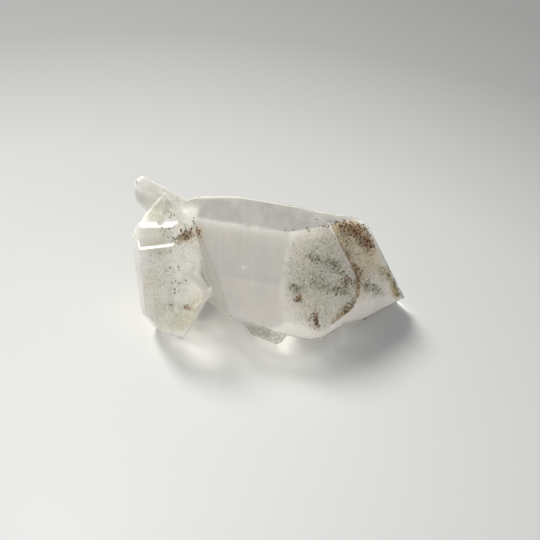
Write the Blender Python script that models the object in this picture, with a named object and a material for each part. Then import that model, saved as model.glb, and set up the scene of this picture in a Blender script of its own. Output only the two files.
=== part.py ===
# Quartz cluster: five crystals grown together into one solid, lying on its side.
# Every crystal is a block cut by flat faces, each set by its angle round the crystal's axis,
# its lean from that axis and its distance from the crystal's middle.

import bpy
import bmesh
from math import cos, pi, radians, sin, sqrt
from random import Random
from mathutils import Matrix, Vector

MM = 0.001

# Lean of a face's normal from the crystal's long axis, in degrees.
PRISM = 90.0
RHOMB = 51.8

# The block every shape is cut from, in millimetres.
BLOCK = 160.0

# How near a point counts as on a cutting plane, how near two points are welded, and the
# largest angle between two triangles of one flat face.
ON_PLANE = 1e-5
WELD = 0.002
FLAT_ANGLE = radians(0.05)

# How deep a plate is rooted in its face and how much its sides slope.
PLATE_ROOT = 0.8
PLATE_SLOPE = 0.45

# The point of the working layout that becomes the model's origin, in millimetres. Its height
# is the level of the resting flat.
ORIGIN = (-0.45, 1.93, -0.2)

# Main crystal and its companion share one place, heading and rise, as parallel growths do.
MAIN_MIDDLE = (4.9, 1.0, 13.0)
MAIN_HEADING = -12.6
MAIN_RISE = -1.5

# A face is (turn round the axis, lean from the axis, reach from the middle in millimetres).
# Turn 0 looks level at the viewer's side and 90 looks up.
MAIN_FACES = {
    "front": (45, PRISM, 14.0),
    "front_low": (31, PRISM, 15.0),
    "top": (105, PRISM, 14.0),
    "top_back": (165, 89, 14.4),
    "top_back_left": (165, 111, 19.8),
    "back_low": (-135, PRISM, 13.2),
    "bottom": (-80, PRISM, 12.3),
    "undercut": (-54, 100, 15.3),
    "band": (-5, 66, 18.6),
    "end_main": (45, RHOMB, 11.3),
    "end_up_back": (165, RHOMB, 11.5),
    "end_cheek": (-93, 25, 18.8),
    "end_strip": (-31, 36, 19.6),
    "left_break": (70, 160, 32.0),
    "left_break_low": (-120, 146, 25.0),
    "left_break_back": (170, 150, 28.5),
    "left_heel": (-5, 140, 21.0),
}

COMPANION_FACES = {
    "front": (45, PRISM, 12.2),
    "front_low": (-15, PRISM, 11.0),
    "top": (105, PRISM, 13.9),
    "top_back": (165, PRISM, 13.6),
    "back_low": (-135, PRISM, 15.4),
    "bottom": (-75, PRISM, 12.2),
    "end_main": (45, RHOMB, 10.5),
    "end_up_back": (165, RHOMB, 21.6),
    "end_top": (105, RHOMB, 20.5),
    "end_low": (23, 52, 11.6),
    "end_bottom": (-59, 55, 21.3),
    "left_step": (-100, 170, 9.0),
}

# The clear left crystal is three lengths of one prism, each a little prouder than the one above.
LEFT_MIDDLE = (-26.4, -1.4, 18.2)
LEFT_HEADING = 94.6
LEFT_RISE = 56.9
LEFT_TIP = {
    "front": (105, PRISM, 6.9),
    "right": (45, PRISM, 7.3),
    "left": (165, PRISM, 7.3),
    "back_left": (-135, PRISM, 7.2),
    "back_right": (-75, PRISM, 7.4),
    "right_back": (-15, PRISM, 7.6),
    "end_left": (125, 52, 10.6),
    "end_right": (85, 50, 11.0),
    "end_far_right": (31, 53, 10.8),
    "tip_left": (-172, 56, 10.2),
    "tip_left_low": (-170, 49, 10.9),
    "tip_right": (1, 50, 11.3),
    "tip_top": (84, 11, 16.4),
    "tip_back": (-80, 45, 12.5),
    "lower_end": (0, 180, -6.0),
}
LEFT_WAIST = {
    "front": (105, PRISM, 7.3),
    "right": (45, PRISM, 7.2),
    "left": (165, PRISM, 7.6),
    "back_left": (-135, PRISM, 7.4),
    "back_right": (-75, PRISM, 7.3),
    "right_back": (-15, PRISM, 7.5),
    "riser": (103, 40, 11.3),
    "riser_back": (-80, 20, 7.0),
    "lower_end": (0, 180, 0.0),
}
LEFT_ROOT = {
    "front": (105, PRISM, 7.9),
    "right": (45, PRISM, 7.4),
    "left": (168, 89, 7.9),
    "back_left": (-135, PRISM, 7.2),
    "back_right": (-75, PRISM, 7.6),
    "right_back": (-15, PRISM, 7.6),
    "riser": (110, 45, 8.0),
    "riser_back": (-80, 12, 4.0),
    "foot_left": (168, 96, 8.0),
    "foot_left_low": (163, 128, 13.7),
    "foot_low": (151, 157, 18.4),
    "foot_front": (104, 134, 14.3),
    "foot_front_left": (135, 112, 10.6),
    "foot_right": (8, 122, 13.8),
}
LEFT_SPUR = {
    "up": (13, 52, 3.4),
    "up_front": (80, 45, 3.3),
    "right": (12, 106, 12.2),
    "down": (15, 124, 14.0),
    "front": (74, 93, 8.9),
    "left": (165, PRISM, -2.0),
    "back": (-75, PRISM, 5.0),
    "foot_front": (66, 131, 14.5),
    "foot": (120, 155, 18.3),
}

SMALL_MIDDLE = (-28.2, 14.5, 24.1)
SMALL_HEADING = 150.0
SMALL_RISE = 10.6
SMALL_FACES = {
    "top_right": (37, PRISM, 3.8),
    "top": (79, 89, 3.2),
    "left": (145, PRISM, 3.8),
    "left_low": (-155, PRISM, 3.9),
    "low": (-131, 87, 4.0),
    "back": (-40, PRISM, 4.2),
    "end_top": (85, 30, 9.0),
    "end_left": (163, 30, 8.2),
    "end_left_low": (-160, 46, 6.6),
    "end_low": (-149, 70, 4.9),
    "end_back": (-20, 45, 8.6),
    "tail": (0, 180, 18.0),
}

STUB_MIDDLE = (-1.5, -9.9, 1.2)
STUB_HEADING = -56.3
STUB_RISE = -33.7
STUB_FACES = {
    "left": (-27, 82, 3.2),
    "low_front": (-27, 49, 2.6),
    "low_right": (-48, 11, 4.8),
    "right": (168, 27, 5.7),
    "right_side": (170, PRISM, 6.5),
    "front": (42, 92, 5.2),
    "front_right": (65, 58, 6.5),
    "under": (-100, PRISM, 4.0),
    "tail": (0, 180, 9.0),
}

# A low plate on a crystal face is (crystal, face, along, across, half length, half width, height,
# corners, twist in degrees). Along and across are measured on the face from the crystal's middle.
PLATES = (
    ("main", "front", -2.4, -2.4, 0.3, 3.4, 0.14, 4, 0),
    ("main", "front", -1.4, -0.8, 0.25, 1.9, 0.12, 4, 0),
    ("main", "end_main", 9.8, 4.0, 2.6, 0.3, 0.16, 4, 12),
    ("main", "top_back", -9.5, -1.0, 6.0, 4.0, 0.45, 6, 8),
    ("main", "top_back", -10.5, -1.8, 3.2, 2.4, 0.8, 5, -14),
    ("main", "end_up_back", 4.0, -1.0, 3.4, 2.6, 0.35, 5, 15),
    ("main", "back_low", -6.0, 2.6, 8.0, 2.6, 0.4, 6, 0),
    ("main", "back_low", -3.0, 2.4, 3.0, 1.6, 0.7, 5, 20),
    ("main", "bottom", -8.0, 4.0, 4.5, 2.6, 0.3, 5, 5),
    ("companion", "back_low", 14.0, 2.0, 3.0, 2.0, 0.35, 5, 15),
    ("left_root", "front", -0.2, 0.2, 0.3, 3.2, 0.16, 4, 1),
    ("left_root", "front", -2.2, -0.4, 0.25, 3.0, 0.14, 4, -1),
    ("left_root", "front", -4.0, 0.4, 0.4, 2.8, 0.18, 4, 1),
    ("left_root", "front", -6.1, -0.2, 0.3, 3.1, 0.15, 4, -2),
    ("left_root", "front", -8.3, 0.3, 0.45, 2.6, 0.2, 4, 1),
    ("left_waist", "front", 5.6, 0.3, 0.3, 3.1, 0.14, 4, 1),
    ("left_root", "back_left", -3.0, 0.6, 3.6, 1.5, 0.3, 5, 0),
    ("left_root", "back_right", -2.0, 0.0, 4.2, 2.4, 0.35, 5, 0),
    ("small", "top", -2.0, 0.0, 2.6, 1.1, 0.2, 4, 0),
    ("small", "back", 1.0, 0.0, 3.0, 1.3, 0.25, 4, 0),
)

# The rough right flank of the left crystal: small tilted slips, drawn from this seed.
ROUGH_SEED = 4
ROUGH_SLIPS = 24
ROUGH_ALONG = (-9.5, 7.0)
ROUGH_ACROSS = (-3.2, 3.2)
SLIP_TILT_ALONG = 0.3
SLIP_TILT_ACROSS = 0.25
SLIP_HEIGHT = (0.15, 0.45)
SLIP_SIDES = 5
SLIP_SIDE_REACH = (0.5, 1.1)
SLIP_SLOPE = 0.5

# The sides of a pebble turn by the golden angle and wander a little in turn and in reach.
GOLDEN_ANGLE = pi * (3.0 - sqrt(5.0))
PEBBLE_TURN = 0.3
PEBBLE_REACH = (0.86, 1.0)

# Half the height of the block that cuts the resting flat.
BELOW_HALF = 20.0

# A flat-sided pebble shape is (centre, three half sizes, number of faces, seed).
# The lumps are added, the scoops are taken out.
LUMPS = (
    ((-26.5, 8.6, 15.8), (4.6, 3.4, 4.0), 16, 1),
    ((-24.0, 13.2, 11.4), (4.0, 3.0, 3.4), 15, 2),
    ((-24.6, 11.6, 20.6), (3.4, 3.4, 3.0), 14, 3),
    ((-21.6, 3.4, 5.4), (3.8, 3.2, 2.8), 14, 4),
)
SCOOPS = (
    ((-29.5, 15.6, 17.0), (3.4, 4.6, 3.6), 18, 11),
    ((-27.6, 12.4, 7.2), (4.2, 4.2, 3.4), 18, 12),
    ((-29.2, 5.0, 9.8), (4.4, 3.4, 3.8), 18, 13),
    ((-21.0, 20.4, 14.2), (4.0, 2.2, 3.2), 18, 14),
    ((6.0, 14.6, 3.6), (4.4, 2.0, 1.8), 16, 15),
    ((24.6, 8.6, 4.0), (3.4, 2.4, 2.0), 16, 16),
    ((-6.7, -8.8, 21.3), (0.5, 0.5, 0.45), 9, 21),
    ((-8.9, -12.2, 17.6), (0.45, 0.4, 0.45), 9, 22),
    ((7.0, -8.8, 20.1), (0.5, 0.4, 0.5), 9, 23),
    ((-5.8, -0.9, 29.1), (0.9, 0.5, 0.5), 10, 24),
    ((3.6, -9.0, 23.0), (0.5, 0.6, 0.6), 10, 25),
    ((2.1, -18.2, 13.7), (0.5, 0.6, 0.7), 10, 26),
    ((32.1, 3.3, 10.5), (0.7, 0.6, 0.7), 10, 27),
    ((34.1, 1.5, 6.4), (0.5, 0.5, 0.7), 10, 28),
    ((21.4, -0.9, 15.2), (0.6, 0.6, 0.7), 10, 29),
    ((-32.2, -7.4, 21.9), (0.5, 0.5, 0.8), 10, 30),
    ((-24.8, -11.1, 19.0), (0.6, 0.5, 0.8), 10, 31),
    ((-32.1, -3.8, 27.6), (0.4, 0.5, 0.5), 10, 32),
)


CRYSTALS = {
    "main": (MAIN_MIDDLE, MAIN_HEADING, MAIN_RISE, MAIN_FACES),
    "companion": (MAIN_MIDDLE, MAIN_HEADING, MAIN_RISE, COMPANION_FACES),
    "left_tip": (LEFT_MIDDLE, LEFT_HEADING, LEFT_RISE, LEFT_TIP),
    "left_waist": (LEFT_MIDDLE, LEFT_HEADING, LEFT_RISE, LEFT_WAIST),
    "left_root": (LEFT_MIDDLE, LEFT_HEADING, LEFT_RISE, LEFT_ROOT),
    "left_spur": (LEFT_MIDDLE, LEFT_HEADING, LEFT_RISE, LEFT_SPUR),
    "small": (SMALL_MIDDLE, SMALL_HEADING, SMALL_RISE, SMALL_FACES),
    "stub": (STUB_MIDDLE, STUB_HEADING, STUB_RISE, STUB_FACES),
}


def quartz_material():
    """Milky quartz, one plain closed material."""
    material = bpy.data.materials.new("milky quartz")
    material.use_nodes = True
    shader = material.node_tree.nodes["Principled BSDF"]
    shader.inputs["Base Color"].default_value = (0.55, 0.53, 0.49, 1.0)
    shader.inputs["Roughness"].default_value = 0.2
    shader.inputs["IOR"].default_value = 1.544
    return material


def axis_frame(heading, rise):
    """Directions across, upward and along a crystal whose axis has this heading and rise."""
    h, r = radians(heading), radians(rise)
    along = Vector((cos(r) * cos(h), cos(r) * sin(h), sin(r)))
    across = Vector((sin(h), -cos(h), 0.0))
    upward = across.cross(along)
    return across, upward, along


def face_normal(frame, turn, lean):
    across, upward, along = frame
    t, n = radians(turn), radians(lean)
    return cos(n) * along + sin(n) * (cos(t) * across + sin(t) * upward)


def cut_away(bm, point, normal):
    """Cut off what lies beyond a plane and close the cut with one flat face."""
    geometry = bm.verts[:] + bm.edges[:] + bm.faces[:]
    cut = bmesh.ops.bisect_plane(bm, geom=geometry, dist=ON_PLANE, plane_co=point, plane_no=normal,
                                 clear_outer=True)
    rim = [item for item in cut["geom_cut"] if isinstance(item, bmesh.types.BMEdge)]
    if rim:
        bmesh.ops.contextual_create(bm, geom=rim)


def cut_block(name, middle, planes):
    """A block cut by planes, each a direction and a reach from the middle, as one object."""
    middle = Vector(middle)
    bm = bmesh.new()
    bmesh.ops.create_cube(bm, size=BLOCK, matrix=Matrix.Translation(middle))
    for normal, reach in planes:
        cut_away(bm, middle + reach * normal, normal)
    bmesh.ops.recalc_face_normals(bm, faces=bm.faces[:])
    mesh = bpy.data.meshes.new(name)
    bm.to_mesh(mesh)
    bm.free()
    thing = bpy.data.objects.new(name, mesh)
    bpy.context.collection.objects.link(thing)
    return thing


def crystal(name):
    """One convex crystal as an object, still in millimetres."""
    middle, heading, rise, faces = CRYSTALS[name]
    frame = axis_frame(heading, rise)
    planes = [(face_normal(frame, turn, lean), reach) for turn, lean, reach in faces.values()]
    return cut_block(name, middle, planes)


def face_frame(name, face):
    """Directions across and along a crystal's face, its normal, and a point on it."""
    middle, heading, rise, faces = CRYSTALS[name]
    frame = axis_frame(heading, rise)
    turn, lean, reach = faces[face]
    normal = face_normal(frame, turn, lean)
    along = (frame[2] - frame[2].dot(normal) * normal).normalized()
    across = along.cross(normal)
    return across, along, normal, Vector(middle) + reach * normal


def plate(name, face, along_at, across_at, half_length, half_width, height, corners, twist):
    """A low flat-topped growth plate that stands out from a face, with sloping sides."""
    across, along, normal, origin = face_frame(name, face)
    middle = origin + along_at * along + across_at * across
    planes = [(normal, height), (-normal, PLATE_ROOT)]
    for k in range(corners):
        angle = radians(twist + 360.0 * k / corners)
        side = cos(angle) * along + sin(angle) * across
        reach = abs(cos(angle)) * half_length + abs(sin(angle)) * half_width
        normal_out = (side + PLATE_SLOPE * normal).normalized()
        planes.append((normal_out, reach * side.dot(normal_out)))
    return cut_block("plate", middle, planes)


def slip(rng, name, face):
    """A small slip of crystal, tilted a little out of a rough face."""
    across, along, normal, origin = face_frame(name, face)
    middle = origin + rng.uniform(*ROUGH_ALONG) * along + rng.uniform(*ROUGH_ACROSS) * across
    tilt_along = rng.uniform(-SLIP_TILT_ALONG, SLIP_TILT_ALONG)
    tilt_across = rng.uniform(-SLIP_TILT_ACROSS, SLIP_TILT_ACROSS)
    tilt = (normal + tilt_along * along + tilt_across * across).normalized()
    planes = [(tilt, rng.uniform(*SLIP_HEIGHT)), (-normal, PLATE_ROOT)]
    start = rng.uniform(0.0, 360.0)
    for k in range(SLIP_SIDES):
        angle = radians(start + 360.0 * k / SLIP_SIDES)
        side = cos(angle) * along + sin(angle) * across
        side_normal = (side + SLIP_SLOPE * normal).normalized()
        planes.append((side_normal, rng.uniform(*SLIP_SIDE_REACH)))
    return cut_block("slip", middle, planes)


def pebble(centre, half_sizes, count, seed):
    """A convex lump with flat sides, for broken stubs and for scooped breaks."""
    rng = Random(seed)
    planes = []
    for k in range(count):
        height = 1.0 - 2.0 * (k + 0.5) / count
        angle = k * GOLDEN_ANGLE + rng.uniform(-PEBBLE_TURN, PEBBLE_TURN)
        ring = sqrt(1.0 - height * height)
        unit = Vector((ring * cos(angle), ring * sin(angle), height))
        spot = Vector([a * b for a, b in zip(unit, half_sizes)])
        normal = Vector([a / b for a, b in zip(unit, half_sizes)]).normalized()
        planes.append((normal, spot.dot(normal) * rng.uniform(*PEBBLE_REACH)))
    return cut_block("pebble", centre, planes)


def block_below(height):
    """A wide block whose top is level at this height, to cut the resting flat."""
    middle = (0.0, 0.0, height - BELOW_HALF)
    return cut_block("below", middle, [(Vector((0.0, 0.0, 1.0)), BELOW_HALF)])


def combine(body, piece, operation="UNION"):
    """Join a piece to the body, or cut it out, and drop the piece."""
    modifier = body.modifiers.new("join", "BOOLEAN")
    modifier.operation = operation
    modifier.solver = "EXACT"
    modifier.object = piece
    bpy.context.view_layer.update()
    depsgraph = bpy.context.evaluated_depsgraph_get()
    mesh = bpy.data.meshes.new_from_object(body.evaluated_get(depsgraph))
    body.modifiers.clear()
    old = body.data
    body.data = mesh
    bpy.data.meshes.remove(old)
    bpy.data.objects.remove(piece)


def clean(mesh):
    """Weld stray points, merge what lies in one plane and split the faces into triangles."""
    bm = bmesh.new()
    bm.from_mesh(mesh)
    bmesh.ops.remove_doubles(bm, verts=bm.verts[:], dist=WELD)
    bmesh.ops.dissolve_degenerate(bm, edges=bm.edges[:], dist=WELD)
    bmesh.ops.dissolve_limit(bm, angle_limit=FLAT_ANGLE, verts=bm.verts[:], edges=bm.edges[:])
    bmesh.ops.triangulate(bm, faces=bm.faces[:])
    bmesh.ops.recalc_face_normals(bm, faces=bm.faces[:])
    bm.to_mesh(mesh)
    bm.free()


def main():
    for thing in list(bpy.data.objects):
        bpy.data.objects.remove(thing)
    body = crystal("main")
    for name in list(CRYSTALS)[1:]:
        combine(body, crystal(name))
    for lump in LUMPS:
        combine(body, pebble(*lump))
    for scoop in SCOOPS:
        combine(body, pebble(*scoop), "DIFFERENCE")
    for entry in PLATES:
        combine(body, plate(*entry))
    rng = Random(ROUGH_SEED)
    for _ in range(ROUGH_SLIPS):
        combine(body, slip(rng, "left_root", "right"))
    combine(body, block_below(ORIGIN[2]), "DIFFERENCE")
    clean(body.data)
    body.data.transform(Matrix.Scale(MM, 4) @ Matrix.Translation(-Vector(ORIGIN)))
    body.name = "quartz_cluster"
    body.data.name = "quartz_cluster"
    body.data.materials.clear()
    body.data.materials.append(quartz_material())
    return body


if __name__ == "__main__":
    main()
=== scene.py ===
# %% [markdown]
# # A milky quartz cluster with coloured specks inside
#
# The real thing is a piece of included quartz, about 72 mm long. A stout milky crystal lies on
# its side, a clear one stands against its broken end, and grains of other minerals sit just
# under the faces. This notebook dresses the solid of that cluster: a clear glossy skin outside,
# cloudy quartz a little way in, and loose grains between the two.

from math import atan, cos, pi, radians, sin, sqrt, tan
from random import Random

import bmesh
import bpy
from mathutils import Matrix, Vector, noise
from mathutils.bvhtree import BVHTree


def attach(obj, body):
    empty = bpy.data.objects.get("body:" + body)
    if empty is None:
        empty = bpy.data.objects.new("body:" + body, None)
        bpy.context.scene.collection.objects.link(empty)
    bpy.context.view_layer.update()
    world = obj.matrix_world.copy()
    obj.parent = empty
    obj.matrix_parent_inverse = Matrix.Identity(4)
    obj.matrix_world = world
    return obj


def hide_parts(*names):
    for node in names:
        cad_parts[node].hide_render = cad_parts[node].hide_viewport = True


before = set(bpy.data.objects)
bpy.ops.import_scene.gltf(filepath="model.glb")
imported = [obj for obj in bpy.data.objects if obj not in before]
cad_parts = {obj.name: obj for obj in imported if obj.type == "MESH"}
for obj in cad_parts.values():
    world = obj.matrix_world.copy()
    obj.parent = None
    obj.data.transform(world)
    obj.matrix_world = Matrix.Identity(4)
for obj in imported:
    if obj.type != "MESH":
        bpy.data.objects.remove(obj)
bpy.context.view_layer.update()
MM = 0.001
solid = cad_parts["quartz_cluster"]

# %% [markdown]
# ## Helpers
#
# A colour picked from a picture is an sRGB value, and Blender's shaders want linear
# light, so one function turns a hex code into linear numbers. Another adds a shader node with
# its settings and links in one line, which keeps each material short enough to read.

# %% Colours and nodes
def linear(code, alpha=1.0):
    """Linear RGBA from an sRGB hex code."""
    values = []
    for start in (0, 2, 4):
        channel = int(code[start:start + 2], 16) / 255.0
        low = channel <= 0.04045
        values.append(channel / 12.92 if low else ((channel + 0.055) / 1.055) ** 2.4)
    return (*values, alpha)


def node(tree, kind, inputs=None, **settings):
    """Add a node. Inputs maps a socket's name or number to a value or to another's output."""
    made = tree.nodes.new(kind)
    for name, value in settings.items():
        setattr(made, name, value)
    for socket, value in (inputs or {}).items():
        if isinstance(value, bpy.types.NodeSocket):
            tree.links.new(value, made.inputs[socket])
        else:
            made.inputs[socket].default_value = value
    return made


def blank_material(name):
    """A material with only its output node, and that node."""
    material = bpy.data.materials.new(name)
    material.use_nodes = True
    tree = material.node_tree
    tree.nodes.clear()
    return material, tree, tree.nodes.new("ShaderNodeOutputMaterial")


def link_piece(name, mesh, material):
    """Put a mesh in the scene as a piece of the cluster."""
    piece = bpy.data.objects.new(name, mesh)
    bpy.context.collection.objects.link(piece)
    mesh.materials.clear()
    mesh.materials.append(material)
    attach(piece, "root")
    return piece


# %% [markdown]
# ## Where the crystals lie
#
# The specks follow the crystal faces, so the faces need names and places. Each crystal has a
# middle, a heading and a rise, and each face is given by its turn round the crystal's axis, its
# lean from that axis and its reach from the middle. These are the same few numbers that the
# solid was cut with.

# %% Crystal frames and faces
LAYOUT_SHIFT = Vector((0.45, -1.93, 0.2))
MAIN_CRYSTAL = (Vector((4.9, 1.0, 13.0)) + LAYOUT_SHIFT, -12.6, -1.5)
LEFT_CRYSTAL = (Vector((-26.4, -1.4, 18.2)) + LAYOUT_SHIFT, 94.6, 56.9)
SMALL_CRYSTAL = (Vector((-28.2, 14.5, 24.1)) + LAYOUT_SHIFT, 150.0, 10.6)
STUB = (Vector((-1.5, -9.9, 1.2)) + LAYOUT_SHIFT, -56.3, -33.7)
FACES = {
    "front": (MAIN_CRYSTAL, 45, 90.0, 14.0),
    "front low": (MAIN_CRYSTAL, 31, 90.0, 15.0),
    "slant": (MAIN_CRYSTAL, 45, 51.8, 11.3),
    "companion": (MAIN_CRYSTAL, 45, 51.8, 10.5),
    "left front": (LEFT_CRYSTAL, 105, 90.0, 7.9),
    "left right": (LEFT_CRYSTAL, 45, 90.0, 7.4),
    "left ledge": (LEFT_CRYSTAL, 103, 40.0, 11.3),
    "left step": (LEFT_CRYSTAL, 110, 45.0, 8.0),
    "stub": (STUB, 42, 90.0, 5.1),
    "stub end": (STUB, 65, 58.0, 6.5),
}


def face_frame(name):
    """Across, along and outward directions of a face, and its origin, in millimetres."""
    (middle, heading, rise), turn, lean, reach = FACES[name]
    h, r, t, n = radians(heading), radians(rise), radians(turn), radians(lean)
    axis = Vector((cos(r) * cos(h), cos(r) * sin(h), sin(r)))
    side = Vector((sin(h), -cos(h), 0.0))
    up = side.cross(axis)
    normal = cos(n) * axis + sin(n) * (cos(t) * side + sin(t) * up)
    along = (axis - axis.dot(normal) * normal).normalized()
    return along.cross(normal), along, normal, middle + reach * normal


for name in FACES:
    print(name, "faces", [round(c, 2) for c in face_frame(name)[2]])

# %% [markdown]
# ## The camera
#
# The photograph looks down at the cluster at forty degrees through a fairly long lens. The lens
# is given by the number of picture widths from the camera at which one width is seen.

# %% Camera
CAMERA_TARGET = (Vector((0.0, 0.0, 13.0)) + LAYOUT_SHIFT) * MM
CAMERA_ELEVATION = radians(40.0)
CAMERA_DISTANCE = 300.0 * MM
FOCAL_IN_PIXELS = 1154.0
PICTURE_PIXELS = 540.0

camera_data = bpy.data.cameras.new("camera")
camera_data.sensor_width = 36.0
camera_data.lens = FOCAL_IN_PIXELS * camera_data.sensor_width / PICTURE_PIXELS
camera_data.clip_start = 0.01
camera = bpy.data.objects.new("camera", camera_data)
bpy.context.collection.objects.link(camera)
back = Vector((0.0, -cos(CAMERA_ELEVATION), sin(CAMERA_ELEVATION)))
camera.location = CAMERA_TARGET + CAMERA_DISTANCE * back
camera.rotation_euler = back.to_track_quat("Z", "Y").to_euler()
bpy.context.scene.camera = camera
print("lens", round(camera_data.lens, 1), "mm")

# %% [markdown]
# ## How thick the milk is
#
# The cluster isn't equally cloudy: thick in the main crystal, thin in the one on the left, and in
# between in the small crystal and the stub. The distance from each clearer crystal's axis says
# which is which. The answer is kept on the meshes as a number per point, for a material to read.

# %% Milk share
def smooth_step(low, high, value):
    """0 below low, 1 above high, and a soft climb between."""
    share = max(0.0, min(1.0, (value - low) / (high - low)))
    return share * share * (3.0 - 2.0 * share)


def axis_direction(heading, rise):
    h, r = radians(heading), radians(rise)
    return Vector((cos(r) * cos(h), cos(r) * sin(h), sin(r)))


# A clearer body is (middle, heading, rise, radius inside which it is clear, radius where the
# milk is full again, share of milk inside, lowest and highest place along its axis, how much
# paler its milk is), in mm.
CLEARER_BODIES = (
    (*LEFT_CRYSTAL, 7.6, 9.2, 0.75, -30.0, 12.5, 0.9),
    (*LEFT_CRYSTAL, 7.6, 9.2, 0.40, 12.5, 30.0, 0.0),
    (*SMALL_CRYSTAL, 5.0, 9.0, 0.85, -6.0, 20.0, 0.35),
    (*STUB, 6.0, 8.0, 0.6, -1.0, 20.0, 0.0),
)


def milk_at(point):
    """How milky and how much paler the quartz is at a point in millimetres, each 0 to 1."""
    share, pale = 1.0, 0.0
    for middle, heading, rise, inner, outer, least, low, high, paler in CLEARER_BODIES:
        axis = axis_direction(heading, rise)
        place = (point - middle).dot(axis)
        away = (point - middle - place * axis).length
        inside = (1.0 - smooth_step(inner, outer, away)) * smooth_step(low - 2.0, low + 1.0, place)
        inside *= 1.0 - smooth_step(high - 1.0, high + 2.0, place)
        share = min(share, 1.0 - (1.0 - least) * inside)
        pale = max(pale, paler * inside)
    return share, pale


def keep_number(mesh, name, values):
    """Store one number per point on a mesh, under a name that a material can read."""
    mesh.attributes.new(name, "FLOAT", "POINT").data.foreach_set("value", values)
    print(mesh.name, name, "from", round(min(values), 2), "to", round(max(values), 2))


# %% [markdown]
# ## The clear skin
#
# Quartz is clear, hard and glossy, and on this cluster the faces are lightly etched, so they
# gleam softly instead of mirroring. The skin takes over the solid's own mesh, with its long
# edges bevelled by a tenth of a millimetre: real edges are never perfectly sharp, and the thin
# bevel is what catches the light.

# %% Clear quartz
CLEAR_QUARTZ_IOR = 1.544
ETCH_ROUGHNESS = 0.18
SKIN_ABSORPTION = 5.0

clear_quartz, tree, output = blank_material("clear quartz, natural etched faces")
texture_place = node(tree, "ShaderNodeTexCoord")
etch = node(tree, "ShaderNodeTexNoise", {"Vector": texture_place.outputs["Object"], "Scale": 900.0,
                                         "Detail": 4.0, "Roughness": 0.65})
skin_milk = node(tree, "ShaderNodeAttribute", attribute_name="milk")
etch_depth = node(tree, "ShaderNodeMapRange", {"Value": skin_milk.outputs["Fac"], "From Min": 0.4,
                                               "From Max": 1.0, "To Min": 0.30, "To Max": 0.08})
etch_bump = node(tree, "ShaderNodeBump", {"Strength": etch_depth.outputs["Result"],
                                          "Distance": 0.12 * MM, "Height": etch.outputs["Fac"]})
clear_shader = node(tree, "ShaderNodeBsdfPrincipled", {
    "Base Color": linear("fafaf8"), "Roughness": ETCH_ROUGHNESS, "IOR": CLEAR_QUARTZ_IOR,
    "Transmission Weight": 1.0, "Normal": etch_bump.outputs["Normal"]})
lamp_rays = node(tree, "ShaderNodeLightPath")
let_lamps_in = node(tree, "ShaderNodeBsdfTransparent", {"Color": linear("f6f6f5")})
skin_mix = node(tree, "ShaderNodeMixShader", {0: lamp_rays.outputs["Is Shadow Ray"],
                                              1: clear_shader.outputs[0],
                                              2: let_lamps_in.outputs[0]})
grey_tint = node(tree, "ShaderNodeVolumeAbsorption", {"Color": linear("d6d9cd"),
                                                      "Density": SKIN_ABSORPTION})
tree.links.new(skin_mix.outputs[0], output.inputs["Surface"])
tree.links.new(grey_tint.outputs[0], output.inputs["Volume"])

# %% Skin mesh without bevels
solid_tree = BVHTree.FromPolygons([vertex.co / MM for vertex in solid.data.vertices],
                                  [polygon.vertices[:] for polygon in solid.data.polygons])
WELD_DISTANCE = 0.001 * MM
FLAT_ANGLE = radians(0.2)

bm = bmesh.new()
bm.from_mesh(solid.data)
bmesh.ops.remove_doubles(bm, verts=bm.verts[:], dist=WELD_DISTANCE)
bmesh.ops.dissolve_limit(bm, angle_limit=FLAT_ANGLE, verts=bm.verts[:], edges=bm.edges[:])
bmesh.ops.connect_verts_concave(bm, faces=bm.faces[:])
plain_mesh = bpy.data.meshes.new("plain_skin")
bm.to_mesh(plain_mesh)
bm.free()
print("plain skin:", len(plain_mesh.polygons), "convex faces")

# %% [markdown]
# Where faces are narrower than two bevels, a bevel folds over itself, and a fold in glass shows
# as a black sliver. So the bevel is tried, each fold is found by comparing its direction with
# the solid's, and the edges beside it stay sharp the next time.

# %% Bevel without folds
BEVEL_WIDTH = 0.10 * MM
BEVEL_MIN_EDGE = 0.8 * MM
BEVEL_MIN_ANGLE = radians(12.0)
SMALLEST_FOLD = 0.004
FACES_WRONG_WAY = 0.3
BESIDE_FOLD = 0.4
BEVEL_TRIES = 16
SHORTEST_EDGE = 0.01 * MM


def bevelled(edge_numbers):
    """The plain skin with these edges bevelled."""
    bm = bmesh.new()
    bm.from_mesh(plain_mesh)
    bm.edges.ensure_lookup_table()
    bmesh.ops.bevel(bm, geom=[bm.edges[k] for k in edge_numbers], offset=BEVEL_WIDTH, segments=2,
                    profile=0.5, affect="EDGES", clamp_overlap=False)
    bmesh.ops.dissolve_degenerate(bm, dist=SHORTEST_EDGE, edges=bm.edges[:])
    mesh = bpy.data.meshes.new("quartz_skin")
    bm.to_mesh(mesh)
    bm.free()
    return mesh


def folds(mesh):
    """Corners and middle, in millimetres, of each triangle that faces the wrong way."""
    found = []
    mesh.calc_loop_triangles()
    for triangle in mesh.loop_triangles:
        a, b, c = (mesh.vertices[k].co / MM for k in triangle.vertices)
        across = (b - a).cross(c - a)
        middle = (a + b + c) / 3.0
        if across.length / 2.0 > SMALLEST_FOLD:
            outward = solid_tree.find_nearest(middle)[1]
            if across.normalized().dot(outward) < FACES_WRONG_WAY:
                found.append((a, b, c, middle))
    return found


def gap(ends, points):
    """Smallest distance from an edge to any of some points."""
    start, end = ends
    run = end - start
    nearest = []
    for point in points:
        share = max(0.0, min(1.0, (point - start).dot(run) / run.length_squared))
        nearest.append((start + share * run - point).length)
    return min(nearest)


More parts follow.
